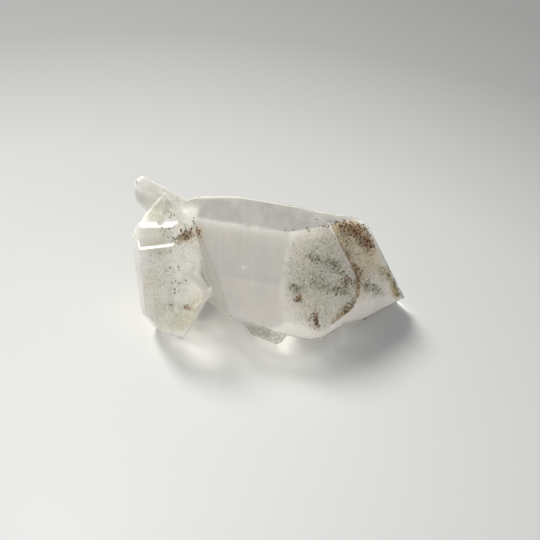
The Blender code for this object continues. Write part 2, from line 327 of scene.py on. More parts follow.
bm = bmesh.new()
bm.from_mesh(plain_mesh)
edge_ends = {edge.index: tuple(vertex.co / MM for vertex in edge.verts) for edge in bm.edges
             if edge.calc_length() > BEVEL_MIN_EDGE
             and edge.calc_face_angle(0.0) > BEVEL_MIN_ANGLE}
bm.free()
for _ in range(BEVEL_TRIES):
    skin_mesh = bevelled(list(edge_ends))
    folded = folds(skin_mesh)
    if not folded:
        break
    for points in folded:
        beside = sorted((gap(ends, points), k) for k, ends in edge_ends.items())[:2]
        for rank, (distance, k) in enumerate(beside):
            if rank == 0 or distance < BESIDE_FOLD:
                edge_ends.pop(k)
    bpy.data.meshes.remove(skin_mesh)
print("skin:", len(edge_ends), "edges bevelled,", len(folded), "folds left")

# %% Skin piece
skin_mesh.name = "quartz_skin"
keep_number(skin_mesh, "milk", [milk_at(vertex.co / MM)[0] for vertex in skin_mesh.vertices])
skin = link_piece("quartz_skin", skin_mesh, clear_quartz)
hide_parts("quartz_cluster")

# %% [markdown]
# ## The cloudy quartz inside
#
# The main crystal is milky: millions of tiny bubbles scatter the light a little way under each
# face. A thin shell of cloudy quartz, pulled in from the skin by half a millimetre, gives that
# depth. Its mesh needs no sharp edges, so a voxel remesh of the solid does well.

# %% Cloud mesh
CLOUD_DEPTH = 0.55 * MM
CLOUD_VOXEL = 0.42 * MM

cloud_mesh = solid.data.copy()
cloud_mesh.name = "milky_cloud"
maker = bpy.data.objects.new("maker", cloud_mesh)
bpy.context.collection.objects.link(maker)
remesh = maker.modifiers.new("remesh", "REMESH")
remesh.mode = "VOXEL"
remesh.voxel_size = CLOUD_VOXEL
pull_in = maker.modifiers.new("pull in", "DISPLACE")
pull_in.mid_level = 0.0
pull_in.strength = -CLOUD_DEPTH
ease = maker.modifiers.new("ease", "SMOOTH")
ease.factor = 0.5
ease.iterations = 8
bpy.context.view_layer.update()
cloud_mesh = bpy.data.meshes.new_from_object(
    maker.evaluated_get(bpy.context.evaluated_depsgraph_get()))
cloud_mesh.name = "milky_cloud"
bpy.data.objects.remove(maker)
cloud_mesh.polygons.foreach_set("use_smooth", [True] * len(cloud_mesh.polygons))
print("cloud:", len(cloud_mesh.polygons), "faces")

# %% [markdown]
# ## Stains
#
# Iron has stained the quartz gold and brown where the two growths meet, and green chlorite dust
# greys the sloping end face; the green ovals also carry painted shade, darkening that face as a
# whole and some facets of the left crystal. Other ovals whiten the left crystal as painted
# highlights on its ledges and as frosting with painted sparkle on its broken part. Each stain is a
# soft oval on a crystal face. The ovals are added up per point of the cloud, and the material
# breaks them up with noise.

# %% Stain maps
# A stain is (face, along, across, half length, half width, twist in degrees, strength).
GOLD_STAINS = (
    ("companion", 12.0, -11.0, 9.5, 4.0, 14.0, 1.0),
    ("companion", 14.5, -7.5, 7.5, 4.0, 16.0, 0.7),
    ("companion", 18.0, -9.0, 5.5, 4.0, 40.0, 0.6),
    ("companion", 13.5, -3.4, 4.5, 2.2, 50.0, 0.7),
    ("companion", 16.6, 1.5, 3.0, 1.6, 75.0, 0.35),
    ("companion", 26.0, -2.0, 6.0, 2.0, 42.0, 0.6),
    ("companion", 28.5, 1.5, 2.5, 2.0, 0.0, 0.5),
    ("companion", 24.0, -4.5, 4.0, 1.2, 42.0, 0.35),
    ("slant", 0.0, 9.0, 1.5, 1.2, 0.0, 0.4),
    ("left front", 5.8, 8.3, 2.4, 1.5, 60.0, 0.9),
    ("left front", 4.2, 9.0, 1.7, 1.0, 90.0, 0.6),
    ("left front", -12.6, 8.4, 4.2, 1.5, 14.0, 0.35),
    ("left front", -16.5, 5.0, 2.6, 3.0, 0.0, 0.45),
    ("left front", -7.0, -2.0, 5.0, 2.4, 0.0, 0.3),
)
FILM_STAINS = (
    ("companion", 8.5, -12.4, 5.0, 1.8, 6.0, 0.3),
    ("companion", 15.0, -11.0, 4.6, 2.2, 34.0, 0.4),
    ("companion", 26.6, -2.0, 3.4, 0.9, 42.0, 0.6),
    ("companion", 28.6, 1.2, 2.0, 1.4, 0.0, 0.4),
    ("slant", -2.0, 8.1, 1.0, 0.8, 0.0, 0.9),
    ("slant", 4.0, 12.2, 1.9, 0.9, 80.0, 0.2),
    ("slant", 11.0, 1.8, 1.6, 0.9, 100.0, 0.4),
    ("left front", 6.4, 7.0, 2.0, 1.0, 75.0, 0.7),
    ("left front", 5.2, 5.2, 1.4, 0.9, 60.0, 0.6),
    ("left front", -12.1, 6.1, 0.9, 0.9, 0.0, 0.5),
)
# Chlorite dust and painted shade: the wide oval over the whole slant both tints it green and darkens
# that face as painted shade; the strong ovals on the left crystal's front at along 12.0 and 14.6 are
# painted shade on facets lit too brightly, and the one at -15.0 is grit with painted shade added; the
# other ovals are chlorite dust.
GREEN_DUST_AND_SHADE_STAINS = (
    ("slant", 6.5, 0.5, 11.5, 13.0, 0.0, 0.62),
    ("slant", -3.2, 5.8, 2.6, 1.4, 0.0, 0.45),
    ("slant", 0.8, -2.6, 3.0, 1.2, 20.0, 0.25),
    ("slant", 3.8, 3.8, 3.4, 1.2, 0.0, 0.2),
    ("slant", 7.5, -1.6, 3.4, 1.8, 20.0, 0.25),
    ("slant", 9.2, 4.0, 3.4, 1.2, 5.0, 0.4),
    ("slant", 10.8, 2.2, 2.4, 1.6, 0.0, 0.15),
    ("companion", 20.0, 1.6, 3.6, 1.3, 8.0, 0.8),
    ("companion", 23.2, -3.0, 2.6, 1.2, 40.0, 0.6),
    ("companion", 28.0, 0.6, 3.0, 1.6, 40.0, 0.8),
    ("left front", 9.0, 7.8, 1.0, 0.8, 0.0, 0.7),
    ("stub", 0.3, -0.7, 3.0, 3.2, 0.0, 0.4),
    ("stub end", 1.2, -2.0, 3.2, 3.2, 0.0, 0.4),
    ("left ledge", 0.7, -0.2, 1.6, 5.5, 0.0, 0.5),
    ("left step", -2.4, -0.6, 1.6, 4.6, 0.0, 0.5),
    ("left front", 12.0, -0.8, 2.4, 2.2, 0.0, 1.0),
    ("left front", -15.0, 3.0, 4.0, 6.0, 0.0, 0.9),
    ("left front", -12.5, 8.0, 4.0, 2.4, 14.0, 0.6),
    ("left front", 14.6, -2.5, 3.2, 4.0, 0.0, 1.0),
)
# Painted highlights and frosting: the ledge and step ovals whiten the left crystal's upward ledges as
# painted highlights; the two front ovals whiten its broken part, a frosted surface with painted
# sparkle.
FROST_AND_HIGHLIGHT_STAINS = (
    ("left ledge", 0.7, -0.2, 1.2, 5.0, 0.0, 0.5),
    ("left step", -2.4, -0.6, 1.2, 4.2, 0.0, 0.5),
    ("left front", 1.0, 6.0, 6.5, 3.6, 0.0, 0.6),
    ("left front", -6.0, 3.0, 5.0, 6.0, 0.0, 0.4),
)
# The line where the two growths meet, as (along, across, width of the brown film on the main
# crystal's side, width on the other side, strength) on the main crystal's slant.
MEETING_LINE = (
    (3.2, -13.4, 0.3, 0.6, 0.1), (5.6, -10.1, 0.3, 0.6, 0.2), (7.4, -7.9, 0.3, 0.8, 0.3),
    (9.6, -5.7, 0.4, 2.0, 1.1), (11.3, -3.8, 0.4, 2.6, 2.0), (13.3, -1.9, 0.6, 2.2, 2.0),
    (14.8, 0.0, 1.6, 1.2, 1.2), (15.8, 2.5, 2.4, 0.5, 1.0), (15.9, 4.3, 3.2, 0.4, 0.9),
    (15.1, 7.1, 3.8, 0.4, 0.9), (13.4, 8.7, 3.4, 0.4, 0.8), (11.1, 10.6, 2.2, 0.4, 0.7),
    (9.1, 12.4, 1.2, 0.4, 0.3),
)
STAIN_DEPTH = 2.5
FLANK_DEPTH = 8.0
# Cosines of the angle to the face between which a stain on the slanting end fades out.
OFF_FACE, ON_FACE = 0.80, 0.95
STAIN_WANDER = 1.1
STAIN_WANDER_RATE = 0.55
LINE_WANDER_RATE = 0.45


def meeting_line_at(a, c):
    """Distance past the meeting line in millimetres, below zero on the main crystal's side,
    with the film's two widths and its strength at the nearest place on the line."""
    nearest = None
    for start, end in zip(MEETING_LINE, MEETING_LINE[1:]):
        run_a, run_c = end[0] - start[0], end[1] - start[1]
        share = ((a - start[0]) * run_a + (c - start[1]) * run_c) / (run_a ** 2 + run_c ** 2)
        share = max(0.0, min(1.0, share))
        off_a, off_c = a - start[0] - share * run_a, c - start[1] - share * run_c
        distance = sqrt(off_a ** 2 + off_c ** 2)
        if nearest is None or distance < nearest[0]:
            side = 1.0 if off_a * run_c - off_c * run_a > 0.0 else -1.0
            film = [start[k] + share * (end[k] - start[k]) for k in (2, 3, 4)]
            nearest = (distance, side, film)
    return nearest[0] * nearest[1], nearest[2]


def stain_map(mesh, stains, meeting_film=False):
    """Strength of a set of stains at each point of a mesh, from 0 to 1."""
    totals = [0.0] * len(mesh.vertices)
    for face, along_at, across_at, half_length, half_width, twist, strength in stains:
        across, along, normal, origin = face_frame(face)
        turn = radians(twist)
        depth = FLANK_DEPTH if face == "left front" else STAIN_DEPTH
        for k, vertex in enumerate(mesh.vertices):
            offset = vertex.co / MM - origin
            off_face = abs(offset.dot(normal))
            if off_face > depth:
                continue
            wander = STAIN_WANDER * noise.noise_vector(STAIN_WANDER_RATE * offset)
            a = offset.dot(along) - along_at + wander.x
            c = offset.dot(across) - across_at + wander.y
            u = (cos(turn) * a + sin(turn) * c) / half_length
            v = (cos(turn) * c - sin(turn) * a) / half_width
            reach = u * u + v * v
            if reach < 2.2:
                there = strength * (1.0 - smooth_step(0.3, 2.2, reach))
                there *= 1.0 - smooth_step(0.6 * depth, depth, off_face)
                if face in ("slant", "companion"):
                    there *= smooth_step(OFF_FACE, ON_FACE, vertex.normal.dot(normal))
                if face == "companion":
                    past = meeting_line_at(offset.dot(along), offset.dot(across))[0]
                    there *= smooth_step(-0.3, 0.2, past)
                totals[k] += there
    if meeting_film:
        across, along, normal, origin = face_frame("slant")
        for k, vertex in enumerate(mesh.vertices):
            offset = vertex.co / MM - origin
            if abs(offset.dot(normal)) < STAIN_DEPTH:
                past, (near, far, strength) = meeting_line_at(offset.dot(along), offset.dot(across))
                wander = 1.0 + 0.6 * noise.noise(LINE_WANDER_RATE * offset)
                width = wander * (far if past > 0.0 else near)
                totals[k] += strength * wander * (1.0 - smooth_step(0.0, width, abs(past)))
    return [min(1.0, total) for total in totals]


milk_numbers = [milk_at(vertex.co / MM) for vertex in cloud_mesh.vertices]
keep_number(cloud_mesh, "milk", [numbers[0] for numbers in milk_numbers])
keep_number(cloud_mesh, "pale", [numbers[1] for numbers in milk_numbers])
keep_number(cloud_mesh, "gold", stain_map(cloud_mesh, GOLD_STAINS))
keep_number(cloud_mesh, "film", stain_map(cloud_mesh, FILM_STAINS, True))
keep_number(cloud_mesh, "green", stain_map(cloud_mesh, GREEN_DUST_AND_SHADE_STAINS))
keep_number(cloud_mesh, "frost_and_highlight", stain_map(cloud_mesh, FROST_AND_HIGHLIGHT_STAINS))

# %% [markdown]
# ## Milky quartz as a material
#
# The milk is a white that lets light wander inside it, so it gets subsurface scattering with a
# reach of some millimetres. Part of each lamp ray goes straight through, because real milky
# quartz throws a pale shadow. Its tone is painted light and shade: grey on the upward faces, a
# warm white below and greyer on faces turned to the back, for how the light falls on them.

# %% Milky quartz
MILK_GLOW_REACH = 7.0 * MM
MILK_GLOW_COLOURS = (1.0, 0.98, 0.94)
MILK_GLOW_SHARE = 0.85
# Share of a lamp's light that passes, at places along the cluster's length in millimetres.
MILK_LETS_THROUGH = ((-34.0, 0.7), (-29.0, 0.7), (-22.0, 0.8), (-16.0, 0.97), (-6.0, 0.97),
                     (2.0, 0.80), (8.0, 0.72), (17.0, 0.05))
# The thick foot lets less of it through: shares at two heights in millimetres.
FOOT_LETS_THROUGH = ((1.0, 0.1), (13.0, 1.0))
MILK_BACK_LIT = 0.15

milky_quartz, tree, output = blank_material("milky quartz, cloudy growth")
texture_place = node(tree, "ShaderNodeTexCoord")
drift = node(tree, "ShaderNodeTexNoise", {"Vector": texture_place.outputs["Object"], "Scale": 90.0,
                                          "Detail": 5.0, "Roughness": 0.6})
grit = node(tree, "ShaderNodeTexNoise", {"Vector": texture_place.outputs["Object"],
                                         "Scale": 1300.0, "Detail": 3.0, "Roughness": 0.7})
upward = node(tree, "ShaderNodeSeparateXYZ", {0: texture_place.outputs["Normal"]})
# Painted light and shade by slope: upward faces get grey and downward faces near-white, standing in for
# the light from above and the glow from below.
slope_painted_shade = node(tree, "ShaderNodeValToRGB", {0: node(tree, "ShaderNodeMapRange", {
    "Value": upward.outputs["Z"], "From Min": -1.0, "From Max": 1.0}).outputs["Result"]})
slope_painted_shade.color_ramp.elements[0].position = 0.30
slope_painted_shade.color_ramp.elements[0].color = linear("fdfaf8")
slope_painted_shade.color_ramp.elements[1].position = 0.985
slope_painted_shade.color_ramp.elements[1].color = linear("aeadab")
slope_painted_shade.color_ramp.elements.new(0.78).color = linear("f8f5f2")
slope_painted_shade.color_ramp.elements.new(0.86).color = linear("edecea")
milk_wisps = node(tree, "ShaderNodeTexNoise", {
    "Vector": node(tree, "ShaderNodeMapping", {
        "Vector": texture_place.outputs["Object"], "Scale": (260.0, 60.0, 60.0)}).outputs["Vector"],
    "Scale": 1.0, "Detail": 5.0, "Roughness": 0.62, "Distortion": 0.6})
clouded = node(tree, "ShaderNodeMix", {
    "Factor": node(tree, "ShaderNodeMapRange", {"Value": milk_wisps.outputs["Fac"],
                                                "From Min": 0.38, "From Max": 0.66,
                                                "To Max": 0.25}).outputs["Result"],
    6: slope_painted_shade.outputs["Color"], 7: linear("dddad4")}, data_type="RGBA")
pale_there = node(tree, "ShaderNodeAttribute", attribute_name="pale")
paled = node(tree, "ShaderNodeMix", {"Factor": pale_there.outputs["Fac"],
                                     6: clouded.outputs[2], 7: linear("fbfaf6")},
             data_type="RGBA")
# Painted shade: faces turned to the back are mixed towards grey, holding down the key lamp's light on
# them.
behind = node(tree, "ShaderNodeMapRange", {"Value": upward.outputs["Y"], "From Min": 0.25,
                                           "From Max": 0.85, "To Max": 0.8})
back_painted_shade = node(tree, "ShaderNodeMix", {"Factor": behind.outputs["Result"],
                                      6: paled.outputs[2], 7: linear("cfcdc8")}, data_type="RGBA")


def add_stain(tree, before, attribute, noise, colour, low, high):
    """Mix a stain's colour over another, broken up by noise where the stain is faint."""
    there = node(tree, "ShaderNodeAttribute", attribute_name=attribute)
    uneven = node(tree, "ShaderNodeMapRange", {"Value": noise, "From Min": 0.3, "From Max": 0.7,
                                               "To Min": low, "To Max": high})
    share = node(tree, "ShaderNodeMath", {0: there.outputs["Fac"], 1: uneven.outputs["Result"]},
                 operation="MULTIPLY", use_clamp=True)
    mix = node(tree, "ShaderNodeMix", {"Factor": share.outputs[0], 6: before, 7: colour},
               data_type="RGBA")
    return mix.outputs[2]


tinted = add_stain(tree, back_painted_shade.outputs[2], "gold", drift.outputs["Fac"], linear("efe3c8"), 0.5, 1.1)
# Green ovals: chlorite dust, and painted shade on the slant and on some facets of the left crystal.
tinted = add_stain(tree, tinted, "green", grit.outputs["Fac"], linear("a4a78a"), 0.0, 1.0)
tinted = add_stain(tree, tinted, "film", grit.outputs["Fac"], linear("a38444"), 0.4, 1.3)
tinted = add_stain(tree, tinted, "film", grit.outputs["Fac"], linear("624820"), -0.8, 1.0)
milk_front = node(tree, "ShaderNodeBsdfPrincipled", {
    "Base Color": tinted, "Roughness": 0.7, "IOR": CLEAR_QUARTZ_IOR, "Specular IOR Level": 0.0,
    "Subsurface Weight": MILK_GLOW_SHARE, "Subsurface Radius": MILK_GLOW_COLOURS,
    "Subsurface Scale": MILK_GLOW_REACH})
milk_back = node(tree, "ShaderNodeBsdfTranslucent", {"Color": tinted})
milk_body = node(tree, "ShaderNodeMixShader", {0: MILK_BACK_LIT, 1: milk_front.outputs[0],
                                               2: milk_back.outputs[0]})
lamp_rays = node(tree, "ShaderNodeLightPath")
along_cluster = node(tree, "ShaderNodeSeparateXYZ", {0: texture_place.outputs["Object"]})
in_reach = node(tree, "ShaderNodeMapRange", {"Value": along_cluster.outputs["X"],
                                             "From Min": -40.0 * MM, "From Max": 40.0 * MM})
lets_through = node(tree, "ShaderNodeValToRGB", {0: in_reach.outputs["Result"]})
for k, (place, share) in enumerate(MILK_LETS_THROUGH):
    stops = lets_through.color_ramp.elements
    stop = stops[k] if k < 2 else stops.new(1.0)
    stop.position = place / 80.0 + 0.5
    stop.color = (share, share, share, 1.0)
(foot_low, foot_share), (foot_high, full_share) = FOOT_LETS_THROUGH
over_foot = node(tree, "ShaderNodeMapRange", {
    "Value": along_cluster.outputs["Z"], "From Min": foot_low * MM, "From Max": foot_high * MM,
    "To Min": foot_share, "To Max": full_share})
passes = node(tree, "ShaderNodeMath", {0: over_foot.outputs["Result"],
                                       1: lets_through.outputs["Color"]}, operation="MULTIPLY")
lamp_share = node(tree, "ShaderNodeMath", {0: lamp_rays.outputs["Is Shadow Ray"],
                                           1: passes.outputs[0]}, operation="MULTIPLY")
let_lamps_in = node(tree, "ShaderNodeBsdfTransparent", {"Color": linear("f5f5f4")})
milk_lit = node(tree, "ShaderNodeMixShader", {0: lamp_share.outputs[0],
                                              1: milk_body.outputs[0],
                                              2: let_lamps_in.outputs[0]})
milk_there = node(tree, "ShaderNodeAttribute", attribute_name="milk")
wisps = node(tree, "ShaderNodeMapRange", {"Value": grit.outputs["Fac"], "From Min": 0.35,
                                          "From Max": 0.65, "To Min": -0.35, "To Max": 0.35})
thin = node(tree, "ShaderNodeMath", {0: 1.0, 1: milk_there.outputs["Fac"]}, operation="SUBTRACT")
milk_gritty = node(tree, "ShaderNodeMath", {0: thin.outputs[0], 1: wisps.outputs["Result"],
                                            2: milk_there.outputs["Fac"]},
                   operation="MULTIPLY_ADD", use_clamp=True)
thinned = node(tree, "ShaderNodeMapRange", {"Value": milk_wisps.outputs["Fac"], "From Min": 0.35,
                                            "From Max": 0.6, "To Min": 0.85, "To Max": 1.0})
milk_uneven = node(tree, "ShaderNodeMath", {0: milk_gritty.outputs[0],
                                            1: thinned.outputs["Result"]}, operation="MULTIPLY")
# These ovals raise the milk to full white: painted highlights on the ledges, frosting with painted
# sparkle on the broken part.
frost_highlight_there = node(tree, "ShaderNodeAttribute", attribute_name="frost_and_highlight")
milk_frost_or_highlight = node(tree, "ShaderNodeMath", {0: milk_uneven.outputs[0],
                                              1: frost_highlight_there.outputs["Fac"]}, operation="MAXIMUM")
clear_part = node(tree, "ShaderNodeBsdfTransparent")
milk_mix = node(tree, "ShaderNodeMixShader", {0: milk_frost_or_highlight.outputs[0],
                                              1: clear_part.outputs[0],
                                              2: milk_lit.outputs[0]})
tree.links.new(milk_mix.outputs[0], output.inputs["Surface"])
cloud = link_piece("milky_cloud", cloud_mesh, milky_quartz)

# %% [markdown]
# ## Grains of other minerals
#
# What makes such a quartz worth keeping is what it grew over: green chlorite flakes, nearly
# black and red-brown iron oxides, and a few pale grains; some white specks are painted glints
# of the rough surface. They lie between the clear skin and the cloud. Every grain is a small
# crumpled twenty-sided lump. A grain's place is chosen on a face and dropped on to the real
# surface, so each stays just inside it, seen from any side.

# %% Dropping a grain on a face
DROP_FROM = {"stub": 1.0, "stub end": 1.0}
DROP_FROM_OTHERS = 8.0
GRAIN_DEPTH = (0.16, 0.40)
STEEPEST = 0.35


def spot_under(face, along_at, across_at, depth):
    """The point this deep under the surface at a place on a face, and the surface's normal."""
    across, along, normal, origin = face_frame(face)
    height = DROP_FROM.get(face, DROP_FROM_OTHERS)
    above = origin + along_at * along + across_at * across + height * normal
    place, surface_normal, _, _ = solid_tree.ray_cast(above, -normal, 2.0 * height)
    if place is None or surface_normal.dot(normal) < STEEPEST:
        return None, None
    return place - depth * surface_normal, surface_normal


# %% Grain shape
bm = bmesh.new()
bmesh.ops.create_icosphere(bm, subdivisions=1, radius=1.0)
LUMP_POINTS = [vertex.co.copy() for vertex in bm.verts]
LUMP_FACES = [tuple(vertex.index for vertex in face.verts) for face in bm.faces]
bm.free()


def add_grain(points, faces, rng, centre, normal, size):
    """Add one crumpled grain, a little flattened along the surface, to the lists of a mesh."""
    first = len(points)
    helper = Vector((0.3, 0.5, 0.8)).cross(normal).normalized()
    turn = Matrix.Rotation(rng.uniform(0.0, 2.0 * pi), 3, normal)
    u = turn @ helper
    v = normal.cross(u)
    wide, narrow, flat = size, size * rng.uniform(0.5, 0.95), size * rng.uniform(0.35, 0.6)
    for point in LUMP_POINTS:
        crumple = rng.uniform(0.75, 1.2)
        points.append(centre + crumple * (wide * point.x * u + narrow * point.y * v
                                          + flat * point.z * normal))
    faces.extend(tuple(first + k for k in face) for face in LUMP_FACES)


def scatter(name, rng, groups, singles, material):
    """One joined mesh of grains. A group is an oval of many, and a single is given its own place."""
    points, faces = [], []
    for face, along_at, across_at, half_length, half_width, twist, count, small, large in groups:
        turn = radians(twist)
        for _ in range(count):
            bearing, reach = rng.uniform(0.0, 2.0 * pi), rng.random() ** 0.6
            a, c = reach * cos(bearing) * half_length, reach * sin(bearing) * half_width
            size = small + (large - small) * rng.random() ** 2.5
            centre, normal = spot_under(face, along_at + cos(turn) * a - sin(turn) * c,
                                        across_at + sin(turn) * a + cos(turn) * c,
                                        rng.uniform(*GRAIN_DEPTH))
            if centre is not None:
                add_grain(points, faces, rng, centre, normal, size)
    for face, along_at, across_at, size in singles:
        centre, normal = spot_under(face, along_at, across_at, GRAIN_DEPTH[0])
        if centre is not None:
            add_grain(points, faces, rng, centre, normal, size)
    mesh = bpy.data.meshes.new(name)
    mesh.from_pydata([point * MM for point in points], [], faces)
    mesh.validate()
    print(name, len(faces) // len(LUMP_FACES), "grains")
    return link_piece(name, mesh, material)


# %% Mineral finishes
def grain_material(name, dark, light, scale, roughness):
    """A dull mineral whose tone changes from grain to grain."""
    material, tree, output = blank_material(name)
    place = node(tree, "ShaderNodeTexCoord")
    tone = node(tree, "ShaderNodeTexNoise", {"Vector": place.outputs["Object"], "Scale": scale,
                                             "Detail": 2.0})
    tones = node(tree, "ShaderNodeValToRGB", {0: tone.outputs["Fac"]})
    tones.color_ramp.elements[0].position = 0.38
    tones.color_ramp.elements[0].color = linear(dark)
    tones.color_ramp.elements[1].position = 0.62
    tones.color_ramp.elements[1].color = linear(light)
    shader = node(tree, "ShaderNodeBsdfPrincipled", {"Base Color": tones.outputs["Color"],
                                                     "Roughness": roughness})
    tree.links.new(shader.outputs[0], output.inputs["Surface"])
    return material


chlorite = grain_material("chlorite, dull green flakes", "3a4026", "92976e", 700.0, 0.6)
iron_oxide = grain_material("iron oxide, red brown grains", "3d1c10", "96602f", 900.0, 0.45)
# Pale finish for the pale grains and for the white specks that are painted glints.
feldspar_and_glints = grain_material("pale feldspar dust", "e9e6dc", "ffffff", 900.0, 0.5)

# %% Green grains
# A group is (face, along, across, half length, half width, twist, count, smallest, largest).
GREEN_GROUPS = (
    ("slant", 4.0, 1.0, 12.0, 13.0, 0.0, 620, 0.05, 0.14),
    ("slant", 3.5, -3.0, 10.0, 9.0, 0.0, 240, 0.07, 0.22),
    ("slant", 1.0, 1.0, 9.0, 4.0, 8.0, 160, 0.08, 0.26),
    ("slant", -3.2, 5.8, 2.2, 1.2, 0.0, 60, 0.10, 0.30),
    ("slant", 4.2, 3.6, 3.5, 1.2, 0.0, 50, 0.09, 0.28),
    ("slant", 0.8, -2.6, 2.6, 1.0, 20.0, 36, 0.09, 0.28),
    ("slant", 6.8, -1.8, 3.6, 1.5, 22.0, 66, 0.10, 0.32),
    ("slant", 9.2, 3.9, 3.0, 1.1, 8.0, 44, 0.10, 0.30),
    ("slant", 2.5, 11.0, 8.0, 3.5, 0.0, 120, 0.06, 0.20),
    ("slant", 13.5, 7.0, 2.8, 1.6, 125.0, 40, 0.07, 0.24),
    ("companion", 19.0, -3.0, 8.0, 7.0, 30.0, 200, 0.06, 0.17),
    ("companion", 20.0, 1.5, 3.4, 1.2, 6.0, 56, 0.09, 0.28),
    ("companion", 23.2, -3.0, 2.4, 1.0, 42.0, 30, 0.09, 0.28),
    ("companion", 28.0, 0.5, 3.0, 1.6, 40.0, 60, 0.10, 0.30),
    ("companion", 14.0, -13.2, 3.0, 1.0, 20.0, 24, 0.12, 0.30),
    ("left front", 9.0, 4.6, 4.2, 4.2, 0.0, 54, 0.10, 0.34),
    ("left front", -1.0, 3.0, 6.0, 5.5, 0.0, 110, 0.05, 0.17),
    ("left front", -10.0, 0.0, 8.0, 5.0, 0.0, 110, 0.05, 0.16),
    ("front", -8.0, 2.0, 9.0, 10.0, 0.0, 21, 0.05, 0.12),
    ("stub", 0.3, -0.7, 2.2, 2.4, 0.0, 24, 0.05, 0.15),
    ("stub end", 0.8, -2.0, 2.6, 2.4, 0.0, 30, 0.05, 0.15),
)
GREEN_SINGLES = (
    ("slant", -9.0, -8.2, 0.32), ("slant", -7.2, -8.6, 0.30), ("slant", -3.3, -9.7, 0.42),
    ("slant", -2.6, -9.2, 0.32), ("slant", -6.4, -4.9, 0.26), ("slant", 5.0, -4.9, 0.30),
    ("slant", 6.3, -2.9, 0.36), ("slant", 5.6, -2.4, 0.34), ("slant", 7.0, -1.9, 0.36),
    ("slant", 3.9, 2.0, 0.34), ("slant", 5.9, 5.4, 0.40), ("slant", -4.6, 5.0, 0.34),
    ("left front", 11.4, 3.6, 0.38), ("left front", 10.6, 6.1, 0.28), ("left front", 9.7, 5.7, 0.30),
    ("left front", 9.2, 7.8, 0.45), ("left front", 8.7, 8.2, 0.34), ("left front", 9.3, 4.2, 0.26),
    ("left front", 7.5, 2.0, 0.28), ("left front", 6.5, 1.6, 0.24), ("left front", 2.0, 0.6, 0.26),
    ("left front", 1.7, -1.8, 0.22), ("left front", 2.5, 3.2, 0.28), ("left front", -1.6, 3.0, 0.32),
    ("left front", -1.6, 4.8, 0.34), ("left front", -2.7, 4.0, 0.26), ("left front", -2.3, 2.0, 0.26),
    ("left front", -5.4, 3.3, 0.28), ("left front", -5.6, 5.0, 0.30), ("left front", -5.1, 6.5, 0.26),
    ("left front", -5.0, 4.2, 0.24), ("left front", -11.0, 2.7, 0.36), ("left front", -14.1, 3.4, 0.28),
    ("left front", 4.0, 7.4, 0.26), ("left front", 1.1, 9.4, 0.26),
)
scatter("chlorite_grains", Random(21), GREEN_GROUPS, GREEN_SINGLES, chlorite)

# %% Iron grains
IRON_GROUPS = (
    ("companion", 6.0, -13.0, 3.2, 0.9, -5.0, 40, 0.10, 0.32),
    ("companion", 9.5, -12.3, 4.4, 1.9, 10.0, 170, 0.11, 0.38),
    ("companion", 14.5, -11.2, 3.8, 2.6, 35.0, 190, 0.11, 0.38),
    ("companion", 16.5, -9.2, 2.8, 2.0, 45.0, 66, 0.10, 0.34),
    ("companion", 11.0, -8.5, 4.5, 2.4, 10.0, 80, 0.09, 0.30),
    ("companion", 13.5, -3.0, 3.0, 1.5, 52.0, 36, 0.09, 0.28),
    ("companion", 15.5, -0.8, 2.0, 1.6, 60.0, 34, 0.09, 0.28),
    ("companion", 19.5, -3.5, 6.0, 4.6, 30.0, 120, 0.06, 0.20),
    ("companion", 25.8, -2.6, 3.2, 0.8, 42.0, 26, 0.10, 0.32),
    ("companion", 28.0, 0.6, 2.4, 1.2, 40.0, 22, 0.10, 0.30),
    ("slant", 3.9, 12.2, 1.7, 0.8, 80.0, 40, 0.16, 0.42),
    ("slant", 4.9, 13.8, 1.1, 0.7, 60.0, 14, 0.12, 0.32),
    ("slant", -2.0, 8.1, 1.1, 0.8, 0.0, 14, 0.12, 0.34),
    ("slant", 11.0, 1.6, 2.0, 1.0, 100.0, 34, 0.11, 0.36),
    ("slant", 13.5, 1.0, 1.2, 1.2, 0.0, 16, 0.10, 0.32),
    ("slant", 1.8, -11.6, 1.4, 0.7, 20.0, 14, 0.12, 0.34),
    ("slant", -0.4, -2.3, 1.4, 0.5, 60.0, 9, 0.10, 0.28),
    ("slant", 14.6, 5.5, 2.6, 0.9, 105.0, 36, 0.08, 0.28),
    ("slant", 12.4, 9.0, 2.4, 0.8, 140.0, 28, 0.08, 0.26),
    ("slant", 5.0, 2.0, 9.0, 10.0, 0.0, 80, 0.05, 0.14),
    ("left front", 6.3, 7.4, 2.5, 1.2, 70.0, 44, 0.14, 0.46),
    ("left front", 4.2, 9.0, 1.8, 0.7, 0.0, 14, 0.10, 0.32),
    ("left front", 5.4, 5.6, 1.6, 0.9, 60.0, 14, 0.11, 0.36),
    ("left front", -2.0, 9.0, 4.0, 1.0, 0.0, 16, 0.07, 0.20),
    ("left front", -7.0, -2.0, 5.0, 2.4, 0.0, 60, 0.06, 0.18),
    ("left front", -8.0, 2.0, 8.0, 6.0, 0.0, 70, 0.05, 0.17),
    ("left front", -7.8, 4.5, 0.9, 0.9, 0.0, 8, 0.10, 0.32),
    ("left front", -12.1, 6.1, 0.8, 0.8, 0.0, 8, 0.12, 0.38),
    ("left front", -17.4, 3.5, 2.4, 2.6, 0.0, 26, 0.06, 0.22),
)
